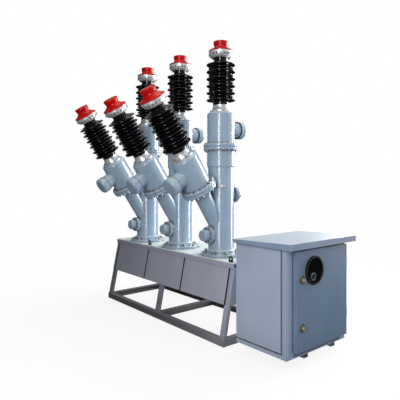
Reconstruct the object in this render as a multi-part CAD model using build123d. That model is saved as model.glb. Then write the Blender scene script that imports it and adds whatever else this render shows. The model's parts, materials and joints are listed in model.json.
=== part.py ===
"""Outdoor three-pole gas breaker: Y-shaped poles on a sloped stand, with a mechanism cabinet.

Millimetres, +Z up. +X runs along the row of poles towards the cabinet, and the branches lean
towards -Y. The origin is on the ground at the middle of the stand.
"""

import os

from build123d import *

# Poles in a row
POLE_NAMES = ("a", "b", "c")
POLE_PITCH = 735.0
POLE_FORWARD = 100.0

# Stand of rolled channels, wider at the ground than at the top
STAND_END_MARGIN = 430.0
STAND_LENGTH = POLE_PITCH * (len(POLE_NAMES) - 1) + 2 * STAND_END_MARGIN
STAND_HEIGHT = 800.0
BASE_WIDTH = 920.0
TOP_WIDTH = 645.0
BASE_RAIL_HEIGHT = 70.0
BASE_RAIL_FLANGE = 60.0
RAIL_WALL = 8.0
TOP_RAIL_HEIGHT = 46.0
TOP_RAIL_FLANGE = 62.0
TOP_PLATE_THICKNESS = 10.0
LEG_WIDTH = 64.0
LEG_DEPTH = 36.0
LEG_WALL = 7.0
LEG_SETBACK = 10.0
ANCHOR_INSET = 100.0
ANCHOR_HOLE_RADIUS = 11.0

# Sheet panels bolted over the legs
PANEL_COUNT = 3
PANEL_THICKNESS = 6.0
PANEL_LOW_SHARE = 0.482
PANEL_JOINT = 12.0
PANEL_LAP = 10.0

# Lifting eyes along the top edges
EYE_RADIUS = 27.0
EYE_HOLE_RADIUS = 14.0
EYE_THICKNESS = 12.0
EYE_HEIGHT = 32.0
EYE_INSET = 60.0

# Column and branch of one pole
BASE_FLANGE_SHARE = 0.98
BASE_FLANGE_THICKNESS = 28.0
COLLAR_RADIUS = 150.0
COLLAR_HEIGHT = 62.0
COLUMN_RADIUS = 140.0
SLEEVE_RADIUS = 152.0
SLEEVE_HEIGHT = 221.0
RING_RADIUS = 190.0
RING_THICKNESS = 34.0
RING_EDGE = 10.0
RING_HEIGHT = 1175.0
BRANCH_RADIUS = 90.0
BRANCH_TILT_DEG = 33.6
BRANCH_HEIGHT = 258.0
BRANCH_LENGTH = 575.0

# Arm on top of each ring flange, measured along the arm from the joint of the two rings
HOUSING_RADIUS = 150.0
HOUSING_LENGTH = 380.0
SHOULDER_RADIUS = 34.0
PORT_PLACE = 200.0
PORT_NECK_RADIUS = 86.0
PORT_NECK_REACH = 234.0
PORT_CAP_RADIUS = 97.0
PORT_CAP_LENGTH = 84.0
PORT_CAP_ROUND = 26.0
LOW_FITTING_RADIUS = 118.0
LOW_FITTING_CONE_RADIUS = 102.0
LOW_FITTING_RIM = 15.0
LOW_FITTING_LENGTH = 78.0
LOW_FITTING_BOW = 4.0
BUSHING_LENGTH = 512.0
CORE_RADIUS = 78.0
CORE_FOOT_RADIUS = 86.0
SHED_COUNT = 6
SHED_RADIUS = 158.0
SMALL_SHED_RADIUS = 136.0
SHED_EDGE = 4.0
SHED_PITCH = 77.0
FIRST_SHED = 54.0
SHED_TOP_SHARE = 0.95
SHED_UNDER_SHARE = 0.12
TOP_FITTING_RADIUS = 131.0
TOP_FITTING_FOOT_RADIUS = 96.0
TOP_FITTING_RIM = 24.0
TOP_FITTING_LENGTH = 70.0
TOP_FITTING_BOW = 7.0
CAP_RADIUS = 135.0
CAP_LIP = 16.0
CAP_BELL_HEIGHT = 48.0
CAP_BELL_BOW = 14.0
CAP_NECK_RADIUS = 61.0
CAP_NECK_LENGTH = 18.0
CAP_DISC_RADIUS = 82.0
CAP_DISC_THICKNESS = 32.0
CAP_DISC_ROUND = 9.0

# Low port in front of each column and domed port behind it
FRONT_PORT_HEIGHT = 230.0
FRONT_PORT_ROOT_RADIUS = 74.0
FRONT_PORT_NECK_RADIUS = 58.0
FRONT_PORT_FLANGE_RADIUS = 91.0
FRONT_PORT_REACH = 184.0
FRONT_COVER_RADIUS = 60.0
FRONT_COVER_LENGTH = 88.0
FRONT_COVER_ROUND = 12.0
REAR_PORT_HEIGHT = 654.0
REAR_PORT_NECK_RADIUS = 56.0
REAR_PORT_FLANGE_RADIUS = 86.0
REAR_PORT_REACH = 196.0
REAR_DOME_RADIUS = 66.0
REAR_DOME_LENGTH = 88.0
REAR_DOME_BOW = 9.0
REAR_DOME_TIP_RADIUS = 22.0
PORT_FLANGE_THICKNESS = 15.0
BOSS_HEIGHT = 755.0
BOSS_LENGTH = 80.0
BOSS_TALL = 27.0
BOSS_PROUD = 14.0
BOSS_TURN_DEG = -40.0
PLUG_RADIUS = 9.0
PLUG_PROUD = 9.0
PLUG_SPACING = 44.0

# Cabinet of the operating mechanism
CABINET_GAP = 135.0
CABINET_LENGTH = 600.0
CABINET_WIDTH = 885.0
CABINET_OFFSET = 22.0
CABINET_BOTTOM = 90.0
CABINET_HEIGHT = 940.0
POST_SIZE = 90.0
POST_DEPTH = 52.0
POST_WALL = 5.0
POST_ROUND = 20.0
WALL_THICKNESS = 4.0
FLOOR_THICKNESS = 6.0
HEADER_HEIGHT = 42.0
SILL_HEIGHT = 62.0
COVER_DEPTH = 18.0
COVER_JOINT = 12.0
FLOOR_LIP = 30.0
ROOF_RISE = 55.0
ROOF_FALL = 22.0
ROOF_EAVES = 80.0
ROOF_NEAR_EAVES = 42.0
ROOF_FAR_EAVES = 66.0
ROOF_BACK_EAVES = 12.0
ROOF_ROUND = 5.0
FOOT_SIZE = 60.0
FOOT_WALL = 8.0
FOOT_INSET = 85.0
FOOT_PLACE_SHARES = (0.43, 0.915)
LINK_WIDTH = 260.0
LINK_HEIGHT = 220.0
LINK_WALL = 5.0

# Door with a round window
DOOR_LEFT_MARGIN = 78.0
DOOR_RIGHT_MARGIN = 34.0
DOOR_BOTTOM_MARGIN = 56.0
DOOR_TOP_MARGIN = 22.0
DOOR_DEPTH = 33.0
DOOR_SKIN = 3.0
DOOR_CLEARANCE = 5.0
DOOR_ROUND = 6.0
WINDOW_RADIUS = 112.0
WINDOW_ACROSS_SHARE = 0.01
WINDOW_UP_SHARE = 0.787
RING_OUTER = 127.0
RING_INNER = 107.0
RING_PROUD = 14.0
RING_ROUND = 5.0
GLASS_SLACK = 0.2
DIAL_OUTER = 36.0
DIAL_INNER = 25.0
DIAL_DROP = 60.0
DIAL_THICKNESS = 8.0
LOCK_ACROSS_SHARE = 0.118
LOCK_RING_GAP = 2.0
LOCK_UP_SHARES = (0.23, 0.71)
LOCK_PLATE_RADIUS = 29.0
LOCK_PLATE_PROUD = 6.0
LOCK_BARREL_RADIUS = 12.0
LOCK_PROUD = 28.0
LOCK_KNOB_RADIUS = 17.0
LOCK_KNOB_LENGTH = 13.0
LOCK_SLOT_WIDTH = 4.0

# Door hinges, with the pin on the cabinet
HINGE_UP_SHARES = (0.247, 0.794)
HINGE_OFFSET = 15.0
KNUCKLE_RADIUS = 9.0
KNUCKLE_LENGTH = 38.0
KNUCKLE_GAP = 5.0
PIN_RADIUS = 5.0
PIN_SLACK = 0.05
LEAF_THICKNESS = 10.0

# Edges that lie closer than this are taken as one place
SAME_PLACE = 0.1

# Places worked out from the sizes above
pole_places = [POLE_PITCH * (i - (len(POLE_NAMES) - 1) / 2) for i in range(len(POLE_NAMES))]
rail_top = STAND_HEIGHT - TOP_PLATE_THICKNESS
leg_top = rail_top - TOP_RAIL_HEIGHT
leg_top_half = TOP_WIDTH / 2 - 2 * PANEL_THICKNESS
leg_foot_half = BASE_WIDTH / 2 - LEG_SETBACK
panel_low = STAND_HEIGHT * PANEL_LOW_SHARE
leg_end = STAND_LENGTH / 2 - PANEL_THICKNESS
base_flange_radius = (TOP_WIDTH / 2 - POLE_FORWARD) * BASE_FLANGE_SHARE
bushing_start = HOUSING_LENGTH + LOW_FITTING_LENGTH
top_fitting_start = bushing_start + BUSHING_LENGTH
cap_start = top_fitting_start + TOP_FITTING_LENGTH
cabinet_back = STAND_LENGTH / 2 + CABINET_GAP
cabinet_front = cabinet_back + CABINET_LENGTH
cabinet_near = CABINET_OFFSET - CABINET_WIDTH / 2
cabinet_far = CABINET_OFFSET + CABINET_WIDTH / 2
cabinet_top = CABINET_BOTTOM + CABINET_HEIGHT
floor_top = CABINET_BOTTOM + FLOOR_THICKNESS
door_back = cabinet_front + DOOR_CLEARANCE
door_front = door_back + DOOR_DEPTH
door_left = cabinet_near + DOOR_LEFT_MARGIN
door_right = cabinet_far - DOOR_RIGHT_MARGIN
door_low = CABINET_BOTTOM + DOOR_BOTTOM_MARGIN
door_high = cabinet_top - DOOR_TOP_MARGIN
door_width = door_right - door_left
door_height = door_high - door_low
hinge_x = door_back + DOOR_DEPTH / 2
hinge_y = door_right + HINGE_OFFSET
hinge_heights = [door_low + door_height * share for share in HINGE_UP_SHARES]

os.makedirs("parts", exist_ok=True)


def save(name, *solids):
    """Write one node, as a single solid or as like solids that don't touch."""
    shape = solids[0] if len(solids) == 1 else Compound(children=list(solids))
    export_step(shape, f"parts/{name}.step")


def block(x_low, x_high, y_low, y_high, z_low, z_high):
    """Box between two corners."""
    box = Box(x_high - x_low, y_high - y_low, z_high - z_low)
    return Pos((x_low + x_high) / 2, (y_low + y_high) / 2, (z_low + z_high) / 2) * box


def turned(points):
    """Solid of revolution about Z from points of radius and height; a third value bows the edge to a point."""
    edges = []
    for start, end in zip(points, points[1:] + points[:1]):
        if len(end) == 2:
            edges.append(Plane.XZ * Line(start[:2], end))
        else:
            edges.append(Plane.XZ * SagittaArc(start[:2], end[:2], end[2]))
    return revolve(make_face(edges), Axis.Z)


def slanted(points, x_low, x_high):
    """Prism along X from points of Y and Z."""
    face = make_face(Plane.YZ * Polyline(*points, close=True))
    return Pos(x_low, 0, 0) * extrude(face, x_high - x_low, dir=(1, 0, 0))


def rod(radius, low, high):
    """Upright cylinder between two heights."""
    return Pos(0, 0, (low + high) / 2) * Cylinder(radius, high - low)


def rim_edges(solid, radius, *heights):
    """Round edges of a turned solid that have one radius and lie at these heights."""
    circles = [e for e in solid.edges().filter_by(GeomType.CIRCLE) if abs(e.radius - radius) < SAME_PLACE]
    return [e for e in circles if any(abs(e.center().Z - height) < SAME_PLACE for height in heights)]


def mirrored_y(solid):
    return mirror(solid, Plane.XZ)


# Stand
def channel(length, height, flange):
    """Channel along X on the ground, with its web outwards at -Y and its flanges at +Y."""
    outer = block(-length / 2, length / 2, 0, flange, 0, height)
    return outer - block(-length / 2, length / 2, RAIL_WALL, flange, RAIL_WALL, height - RAIL_WALL)


def leg_line(height):
    """Half width of the stand over the legs at a height."""
    share = (height - BASE_RAIL_HEIGHT) / (leg_top - BASE_RAIL_HEIGHT)
    return leg_foot_half + (leg_top_half - leg_foot_half) * share


def leg(x_low):
    """Front leg of folded channel that leans inwards, with its open side inwards."""
    def side(inset):
        return [
            (-leg_line(BASE_RAIL_HEIGHT) + inset, BASE_RAIL_HEIGHT),
            (-leg_line(leg_top) + inset, leg_top),
            (-leg_line(leg_top) + LEG_DEPTH, leg_top),
            (-leg_line(BASE_RAIL_HEIGHT) + LEG_DEPTH, BASE_RAIL_HEIGHT),
        ]
    x_high = x_low + LEG_WIDTH
    return slanted(side(0), x_low, x_high) - slanted(side(LEG_WALL), x_low + LEG_WALL, x_high - LEG_WALL)


def panel(x_low, x_high):
    """Front panel that lies on the legs."""
    points = [
        (-leg_line(panel_low), panel_low),
        (-leg_line(leg_top), leg_top),
        (-leg_line(leg_top) - PANEL_THICKNESS, leg_top),
        (-leg_line(panel_low) - PANEL_THICKNESS, panel_low),
    ]
    return slanted(points, x_low, x_high)


def end_panel(x_low):
    """Panel over one end of the stand, between the two slopes."""
    points = [
        (-leg_line(panel_low), panel_low),
        (leg_line(panel_low), panel_low),
        (leg_line(leg_top), leg_top),
        (-leg_line(leg_top), leg_top),
    ]
    return slanted(points, x_low, x_low + PANEL_THICKNESS)


def lifting_eye(x):
    """Plate with a hole, upright on the front top edge."""
    y = -TOP_WIDTH / 2 + EYE_THICKNESS
    plate = block(-EYE_RADIUS, EYE_RADIUS, 0, EYE_THICKNESS, 0, EYE_HEIGHT)
    top = Pos(0, EYE_THICKNESS / 2, EYE_HEIGHT) * Rot(X=90) * Cylinder(EYE_RADIUS, EYE_THICKNESS)
    hole = Pos(0, EYE_THICKNESS / 2, EYE_HEIGHT) * Rot(X=90) * Cylinder(EYE_HOLE_RADIUS, 2 * EYE_THICKNESS)
    return Pos(x, y, STAND_HEIGHT) * (plate + top - hole)


front_rail = Pos(0, -BASE_WIDTH / 2, 0) * channel(STAND_LENGTH, BASE_RAIL_HEIGHT, BASE_RAIL_FLANGE)
for x in (-STAND_LENGTH / 2, STAND_LENGTH / 2 - RAIL_WALL):
    front_rail += Pos(0, -BASE_WIDTH / 2, 0) * block(x, x + RAIL_WALL, 0, BASE_RAIL_FLANGE, 0, BASE_RAIL_HEIGHT)
anchor_x = STAND_LENGTH / 2 - ANCHOR_INSET
anchor_y = BASE_WIDTH / 2 - BASE_RAIL_FLANGE / 2
for x in (-anchor_x, anchor_x):
    front_rail -= Pos(x, -anchor_y, 0) * rod(ANCHOR_HOLE_RADIUS, -RAIL_WALL, 2 * RAIL_WALL)
save("base_side_rails", front_rail, mirrored_y(front_rail))

cross_length = BASE_WIDTH - 2 * BASE_RAIL_FLANGE
cross_rail = channel(cross_length, BASE_RAIL_HEIGHT, BASE_RAIL_FLANGE)
end_rail = Pos(STAND_LENGTH / 2, 0, 0) * Rot(Z=90) * cross_rail
middle_rail = Pos(BASE_RAIL_FLANGE / 2, 0, 0) * Rot(Z=90) * cross_rail
save("base_cross_rails", end_rail, middle_rail, mirror(end_rail, Plane.YZ))

leg_places = (-leg_end, -LEG_WIDTH / 2, leg_end - LEG_WIDTH)
front_legs = [leg(x) for x in leg_places]
save("legs", *front_legs, *[mirrored_y(solid) for solid in front_legs])

top_rail = Pos(0, -TOP_WIDTH / 2, leg_top) * channel(STAND_LENGTH, TOP_RAIL_HEIGHT, TOP_RAIL_FLANGE)
save("top_side_rails", top_rail, mirrored_y(top_rail))
top_cross = channel(TOP_WIDTH - 2 * TOP_RAIL_FLANGE, TOP_RAIL_HEIGHT, TOP_RAIL_FLANGE)
top_end = Pos(STAND_LENGTH / 2, 0, leg_top) * Rot(Z=90) * top_cross
save("top_end_rails", top_end, mirror(top_end, Plane.YZ))
save(
    "top_plate",
    block(-STAND_LENGTH / 2, STAND_LENGTH / 2, -TOP_WIDTH / 2, TOP_WIDTH / 2, rail_top, STAND_HEIGHT),
)

panels_half = leg_end - LEG_WIDTH + PANEL_LAP
panel_pitch = (2 * panels_half + PANEL_JOINT) / PANEL_COUNT
panel_starts = [-panels_half + panel_pitch * i for i in range(PANEL_COUNT)]
front_panels = [panel(x, x + panel_pitch - PANEL_JOINT) for x in panel_starts]
save("front_panels", *front_panels)
save("back_panels", *[mirrored_y(solid) for solid in front_panels])
save("end_panels", end_panel(leg_end), end_panel(-STAND_LENGTH / 2))

eye_places = (panel_starts[1], STAND_LENGTH / 2 - EYE_INSET)
front_eyes = [lifting_eye(x) for x in eye_places]
save("lifting_eyes", *front_eyes, *[mirrored_y(solid) for solid in front_eyes])


# Poles
def along(direction_deg, x, height):
    """Place on a column's axis with +Z turned about X, so that 90 points to -Y."""
    return Pos(x, -POLE_FORWARD, STAND_HEIGHT + height) * Rot(X=direction_deg)


def tank(x):
    """Base flange, column, sleeve and ring, with the inclined branch and the port necks."""
    sleeve_low = RING_HEIGHT - SLEEVE_HEIGHT
    ring_low = RING_HEIGHT - RING_THICKNESS
    column = turned([
        (0, 0),
        (base_flange_radius, 0),
        (base_flange_radius, BASE_FLANGE_THICKNESS),
        (COLLAR_RADIUS, BASE_FLANGE_THICKNESS),
        (COLLAR_RADIUS, COLLAR_HEIGHT),
        (COLUMN_RADIUS, COLLAR_HEIGHT + COLLAR_RADIUS - COLUMN_RADIUS),
        (COLUMN_RADIUS, sleeve_low),
        (SLEEVE_RADIUS, sleeve_low + SLEEVE_RADIUS - COLUMN_RADIUS),
        (SLEEVE_RADIUS, ring_low),
        (RING_RADIUS, ring_low),
        (RING_RADIUS, RING_HEIGHT),
        (0, RING_HEIGHT),
    ])
    column = fillet(rim_edges(column, RING_RADIUS, ring_low, RING_HEIGHT), RING_EDGE)
    branch_ring_low = BRANCH_LENGTH - RING_THICKNESS
    branch = turned([
        (0, 0),
        (BRANCH_RADIUS, 0),
        (BRANCH_RADIUS, branch_ring_low),
        (RING_RADIUS, branch_ring_low),
        (RING_RADIUS, BRANCH_LENGTH),
        (0, BRANCH_LENGTH),
    ])
    branch = fillet(rim_edges(branch, RING_RADIUS, branch_ring_low, BRANCH_LENGTH), RING_EDGE)
    front_neck = turned([
        (0, 0),
        (FRONT_PORT_ROOT_RADIUS, 0),
        (FRONT_PORT_ROOT_RADIUS, COLUMN_RADIUS - PORT_FLANGE_THICKNESS),
        (FRONT_PORT_NECK_RADIUS, FRONT_PORT_REACH - PORT_FLANGE_THICKNESS),
        (FRONT_PORT_FLANGE_RADIUS, FRONT_PORT_REACH - PORT_FLANGE_THICKNESS),
        (FRONT_PORT_FLANGE_RADIUS, FRONT_PORT_REACH),
        (0, FRONT_PORT_REACH),
    ])
    rear_neck = turned([
        (0, 0),
        (REAR_PORT_NECK_RADIUS, 0),
        (REAR_PORT_NECK_RADIUS, REAR_PORT_REACH - PORT_FLANGE_THICKNESS),
        (REAR_PORT_FLANGE_RADIUS, REAR_PORT_REACH - PORT_FLANGE_THICKNESS),
        (REAR_PORT_FLANGE_RADIUS, REAR_PORT_REACH),
        (0, REAR_PORT_REACH),
    ])
    boss_half = BOSS_LENGTH / 2
    boss_face = COLUMN_RADIUS + BOSS_PROUD
    boss = block(0, boss_face, -boss_half, boss_half, -BOSS_TALL / 2, BOSS_TALL / 2)
    for y in (-PLUG_SPACING / 2, PLUG_SPACING / 2):
        boss += Pos(0, y, 0) * Rot(Y=90) * rod(PLUG_RADIUS, COLUMN_RADIUS, boss_face + PLUG_PROUD)
    solid = along(0, x, 0) * column
    solid += along(BRANCH_TILT_DEG, x, BRANCH_HEIGHT) * branch
    solid += along(90, x, FRONT_PORT_HEIGHT) * front_neck
    solid += along(-90, x, REAR_PORT_HEIGHT) * rear_neck
    return solid + along(0, x, BOSS_HEIGHT) * Rot(Z=BOSS_TURN_DEG) * boss


def housing(port_side_deg):
    """Current-transformer housing with its ring, its round shoulder and a side port neck."""
    body = turned([
        (0, 0),
        (RING_RADIUS, 0),
        (RING_RADIUS, RING_THICKNESS),
        (HOUSING_RADIUS, RING_THICKNESS),
        (HOUSING_RADIUS, HOUSING_LENGTH),
        (0, HOUSING_LENGTH),
    ])
    body = fillet(rim_edges(body, RING_RADIUS, 0, RING_THICKNESS), RING_EDGE)
    body = fillet(rim_edges(body, HOUSING_RADIUS, HOUSING_LENGTH), SHOULDER_RADIUS)
    return body + Pos(0, 0, PORT_PLACE) * Rot(X=port_side_deg) * rod(PORT_NECK_RADIUS, 0, PORT_NECK_REACH)


def port_cap(port_side_deg):
    """Round-edged cap on a housing's side port."""
    high = PORT_NECK_REACH + PORT_CAP_LENGTH
    cap = rod(PORT_CAP_RADIUS, PORT_NECK_REACH, high)
    cap = fillet(rim_edges(cap, PORT_CAP_RADIUS, high), PORT_CAP_ROUND)
    return Pos(0, 0, PORT_PLACE) * Rot(X=port_side_deg) * cap


def low_fitting():
    """Silver foot of a bushing: a rim and a hollow-sided cone."""
    return turned([
        (0, HOUSING_LENGTH),
        (LOW_FITTING_RADIUS, HOUSING_LENGTH),
        (LOW_FITTING_RADIUS, HOUSING_LENGTH + LOW_FITTING_RIM),
        (LOW_FITTING_CONE_RADIUS, HOUSING_LENGTH + LOW_FITTING_RIM),
        (CORE_FOOT_RADIUS, bushing_start, LOW_FITTING_BOW),
        (0, bushing_start),
    ])


def bushing():
    """Core with large and small sheds in turn."""
    half = SHED_PITCH / 2
    points = [(0, bushing_start), (CORE_FOOT_RADIUS, bushing_start)]
    for i in range(2 * SHED_COUNT - 1):
        tip = bushing_start + FIRST_SHED + half * i
        radius = SMALL_SHED_RADIUS if i % 2 else SHED_RADIUS
        points.append((CORE_FOOT_RADIUS if i == 0 else CORE_RADIUS, tip + half * SHED_UNDER_SHARE))
        points.append((radius, tip - SHED_EDGE / 2))
        points.append((radius, tip + SHED_EDGE / 2))
        points.append((CORE_RADIUS, tip + half * SHED_TOP_SHARE))
    points += [(CORE_RADIUS, top_fitting_start), (0, top_fitting_start)]
    return turned(points)


def top_fitting():
    """Silver head of a bushing: a bowl that widens to a rim."""
    return turned([
        (0, top_fitting_start),
        (TOP_FITTING_FOOT_RADIUS, top_fitting_start),
        (TOP_FITTING_RADIUS, cap_start - TOP_FITTING_RIM, -TOP_FITTING_BOW),
        (TOP_FITTING_RADIUS, cap_start),
        (0, cap_start),
    ])


def cap():
    """Red cap: a lip over the fitting, a bell, a neck and a round-edged disc."""
    bell_low = cap_start + CAP_LIP
    neck_low = bell_low + CAP_BELL_HEIGHT
    disc_low = neck_low + CAP_NECK_LENGTH
    disc_high = disc_low + CAP_DISC_THICKNESS
    solid = turned([
        (0, cap_start),
        (CAP_RADIUS, cap_start),
        (CAP_RADIUS, bell_low),
        (CAP_NECK_RADIUS, neck_low, CAP_BELL_BOW),
        (CAP_NECK_RADIUS, disc_low),
        (CAP_DISC_RADIUS, disc_low),
        (CAP_DISC_RADIUS, disc_high),
        (0, disc_high),
    ])
    return fillet(rim_edges(solid, CAP_DISC_RADIUS, disc_low, disc_high), CAP_DISC_ROUND)


def front_cover():
    """Flanged round cap on the low front port."""
    high = FRONT_PORT_REACH + FRONT_COVER_LENGTH
    cover = turned([
        (0, FRONT_PORT_REACH),
        (FRONT_PORT_FLANGE_RADIUS, FRONT_PORT_REACH),
        (FRONT_PORT_FLANGE_RADIUS, FRONT_PORT_REACH + PORT_FLANGE_THICKNESS),
        (FRONT_COVER_RADIUS, FRONT_PORT_REACH + PORT_FLANGE_THICKNESS),
        (FRONT_COVER_RADIUS, high),
        (0, high),
    ])
    return fillet(rim_edges(cover, FRONT_COVER_RADIUS, high), FRONT_COVER_ROUND)


def rear_cover():
    """Flanged dome on the rear port."""
    dome_low = REAR_PORT_REACH + PORT_FLANGE_THICKNESS
    return turned([
        (0, REAR_PORT_REACH),
        (REAR_PORT_FLANGE_RADIUS, REAR_PORT_REACH),
        (REAR_PORT_FLANGE_RADIUS, dome_low),
        (REAR_DOME_RADIUS, dome_low),
        (REAR_DOME_TIP_RADIUS, dome_low + REAR_DOME_LENGTH, -REAR_DOME_BOW),
        (0, dome_low + REAR_DOME_LENGTH),
    ])


fittings = []
caps = []
covers = []
for pole, x in zip(POLE_NAMES, pole_places):
    upright = along(0, x, RING_HEIGHT)
    inclined = along(BRANCH_TILT_DEG, x, BRANCH_HEIGHT) * Pos(0, 0, BRANCH_LENGTH)
    save(f"pole_{pole}_tank", tank(x))
    save(f"pole_{pole}_vertical_housing", upright * housing(-90))
    save(f"pole_{pole}_inclined_housing", inclined * housing(90))
    save(f"pole_{pole}_vertical_bushing", upright * bushing())
    save(f"pole_{pole}_inclined_bushing", inclined * bushing())
    for arm, port_side_deg in ((upright, -90), (inclined, 90)):
        fittings += [arm * low_fitting(), arm * top_fitting()]
        caps.append(arm * cap())
        covers.append(arm * port_cap(port_side_deg))
    covers.append(along(90, x, FRONT_PORT_HEIGHT) * front_cover())
    covers.append(along(-90, x, REAR_PORT_HEIGHT) * rear_cover())
save("bushing_fittings", *fittings)
save("red_caps", *caps)
save("port_covers", *covers)


# Cabinet
def post(x_low, y_low, outer_x, outer_y):
    """Hollow corner post, round at its outer corner."""
    x_high = x_low + POST_DEPTH
    y_high = y_low + POST_SIZE
    solid = block(x_low, x_high, y_low, y_high, floor_top, cabinet_top)
    corner = [
        e for e in solid.edges().filter_by(Axis.Z)
        if abs(e.center().X - outer_x) < POST_WALL and abs(e.center().Y - outer_y) < POST_WALL
    ]
    solid = fillet(corner, POST_ROUND)
    inner = block(
        x_low + POST_WALL, x_high - POST_WALL, y_low + POST_WALL, y_high - POST_WALL, floor_top, cabinet_top
    )
    return solid - inner


post_back = cabinet_back + WALL_THICKNESS
post_front = cabinet_front - POST_DEPTH
post_far = cabinet_far - POST_SIZE
save(
    "cabinet_posts",
    post(post_front, cabinet_near, cabinet_front, cabinet_near),
    post(post_front, post_far, cabinet_front, cabinet_far),
    post(post_back, cabinet_near + COVER_DEPTH, post_back, cabinet_near + COVER_DEPTH),
    post(post_back, post_far - WALL_THICKNESS, post_back, cabinet_far - WALL_THICKNESS),
)
lip_top = floor_top + FLOOR_LIP
floor_pan = block(cabinet_back, cabinet_front, cabinet_near, cabinet_far, CABINET_BOTTOM, floor_top)
floor_pan += block(cabinet_back, post_front, cabinet_near, cabinet_near + WALL_THICKNESS, floor_top, lip_top)
save("cabinet_floor", floor_pan)
save(
    "cabinet_back_wall",
    block(
        cabinet_back, post_back, cabinet_near + COVER_DEPTH, cabinet_far - WALL_THICKNESS, floor_top, cabinet_top
    ),
)
save(
    "cabinet_far_wall",
    block(cabinet_back, post_front, cabinet_far - WALL_THICKNESS, cabinet_far, floor_top, cabinet_top),
)
cover_end = post_front - COVER_JOINT
cover_low = lip_top + COVER_JOINT
cover_high = cabinet_top - COVER_JOINT
side_cover = block(cabinet_back, cover_end, cabinet_near, cabinet_near + COVER_DEPTH, cover_low, cover_high)
side_cover -= block(
    cabinet_back + WALL_THICKNESS,
    cover_end - WALL_THICKNESS,
    cabinet_near + WALL_THICKNESS,
    cabinet_near + COVER_DEPTH,
    cover_low + WALL_THICKNESS,
    cover_high - WALL_THICKNESS,
)
save("cabinet_side_cover", side_cover)

opening_near = cabinet_near + POST_SIZE
save(
    "cabinet_front_rails",
    block(post_front, cabinet_front, opening_near, post_far, floor_top, floor_top + SILL_HEIGHT),
    block(post_front, cabinet_front, opening_near, post_far, cabinet_top - HEADER_HEIGHT, cabinet_top),
)

roof_front = cabinet_front + ROOF_EAVES
roof_back = cabinet_back - ROOF_BACK_EAVES
roof_near = cabinet_near - ROOF_NEAR_EAVES
roof_far = cabinet_far + ROOF_FAR_EAVES
roof_side = make_face(Plane.XZ * Polyline(
    (roof_back, cabinet_top),
    (roof_front, cabinet_top),
    (roof_front, cabinet_top + ROOF_RISE),
    (roof_back, cabinet_top + ROOF_RISE - ROOF_FALL),
    close=True,
))
roof = Pos(0, roof_near, 0) * extrude(roof_side, roof_far - roof_near, dir=(0, 1, 0))
roof = fillet(roof.edges().filter_by(Axis.Z), ROOF_ROUND)
save("cabinet_roof", roof)


def foot(x_low, y):
    """Angle foot under the floor."""
    y_low = y - FOOT_SIZE / 2
    y_high = y + FOOT_SIZE / 2
    solid = block(x_low, x_low + FOOT_SIZE, y_low, y_high, 0, CABINET_BOTTOM)
    inner = block(x_low, x_low + FOOT_SIZE, y_low + FOOT_WALL, y_high - FOOT_WALL, FOOT_WALL, CABINET_BOTTOM)
    return solid - inner


foot_places = [
    (x, cabinet_near + CABINET_WIDTH * share)
    for x in (cabinet_back + FOOT_INSET, cabinet_front - FOOT_INSET - FOOT_SIZE)
    for share in FOOT_PLACE_SHARES
]
save("cabinet_feet", *[foot(x, y) for x, y in foot_places])

link_high = leg_top
link_low = link_high - LINK_HEIGHT
link = block(STAND_LENGTH / 2, cabinet_back, -LINK_WIDTH / 2, LINK_WIDTH / 2, link_low, link_high)
link -= block(
    STAND_LENGTH / 2,
    cabinet_back,
    LINK_WALL - LINK_WIDTH / 2,
    LINK_WIDTH / 2 - LINK_WALL,
    link_low + LINK_WALL,
    link_high - LINK_WALL,
)
save("cabinet_link", link)

# Door
lock_y = door_left + door_width * LOCK_ACROSS_SHARE
ring_left = lock_y + LOCK_PLATE_RADIUS + LOCK_RING_GAP
ring_room = door_right - ring_left - 2 * RING_OUTER
window_y = ring_left + RING_OUTER + ring_room * WINDOW_ACROSS_SHARE
window_z = door_low + door_height * WINDOW_UP_SHARE


def facing(y, z):
    """Place on the door's front with +Z turned outwards to +X."""
    return Pos(door_front, y, z) * Rot(Y=90)


door = block(door_back, door_front, door_left, door_right, door_low, door_high)
door = fillet(door.edges().filter_by(Axis.X), DOOR_ROUND)
door -= block(
    door_back,
    door_front - DOOR_SKIN,
    door_left + DOOR_ROUND,
    door_right - DOOR_ROUND,
    door_low + DOOR_ROUND,
    door_high - DOOR_ROUND,
)
door -= facing(window_y, window_z) * rod(WINDOW_RADIUS, -2 * DOOR_SKIN, DOOR_SKIN)
save("door", door)

ring = rod(RING_OUTER, 0, RING_PROUD) - rod(RING_INNER, 0, RING_PROUD)
ring = fillet(rim_edges(ring, RING_OUTER, RING_PROUD), RING_ROUND)
save("window_ring", facing(window_y, window_z) * ring)
save("window_glass", facing(window_y, window_z) * rod(WINDOW_RADIUS - GLASS_SLACK, -DOOR_SKIN, 0))

dial = rod(DIAL_OUTER, -DIAL_THICKNESS, 0) - rod(DIAL_INNER, -DIAL_THICKNESS, 0)
save("window_indicator", facing(window_y, window_z - DIAL_DROP) * Pos(0, 0, -DOOR_SKIN) * dial)

knob_low = LOCK_PROUD - LOCK_KNOB_LENGTH
lock = turned([
    (0, 0),
    (LOCK_PLATE_RADIUS, 0),
    (LOCK_PLATE_RADIUS, LOCK_PLATE_PROUD),
    (LOCK_BARREL_RADIUS, LOCK_PLATE_PROUD),
    (LOCK_BARREL_RADIUS, knob_low),
    (LOCK_KNOB_RADIUS, knob_low),
    (LOCK_KNOB_RADIUS, LOCK_PROUD),
    (0, LOCK_PROUD),
])
lock -= block(
    -LOCK_KNOB_RADIUS, LOCK_KNOB_RADIUS,
    -LOCK_SLOT_WIDTH / 2, LOCK_SLOT_WIDTH / 2,
    LOCK_PROUD - LOCK_SLOT_WIDTH, LOCK_PROUD,
)
save("door_locks", *[facing(lock_y, door_low + door_height * share) * lock for share in LOCK_UP_SHARES])


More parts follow.
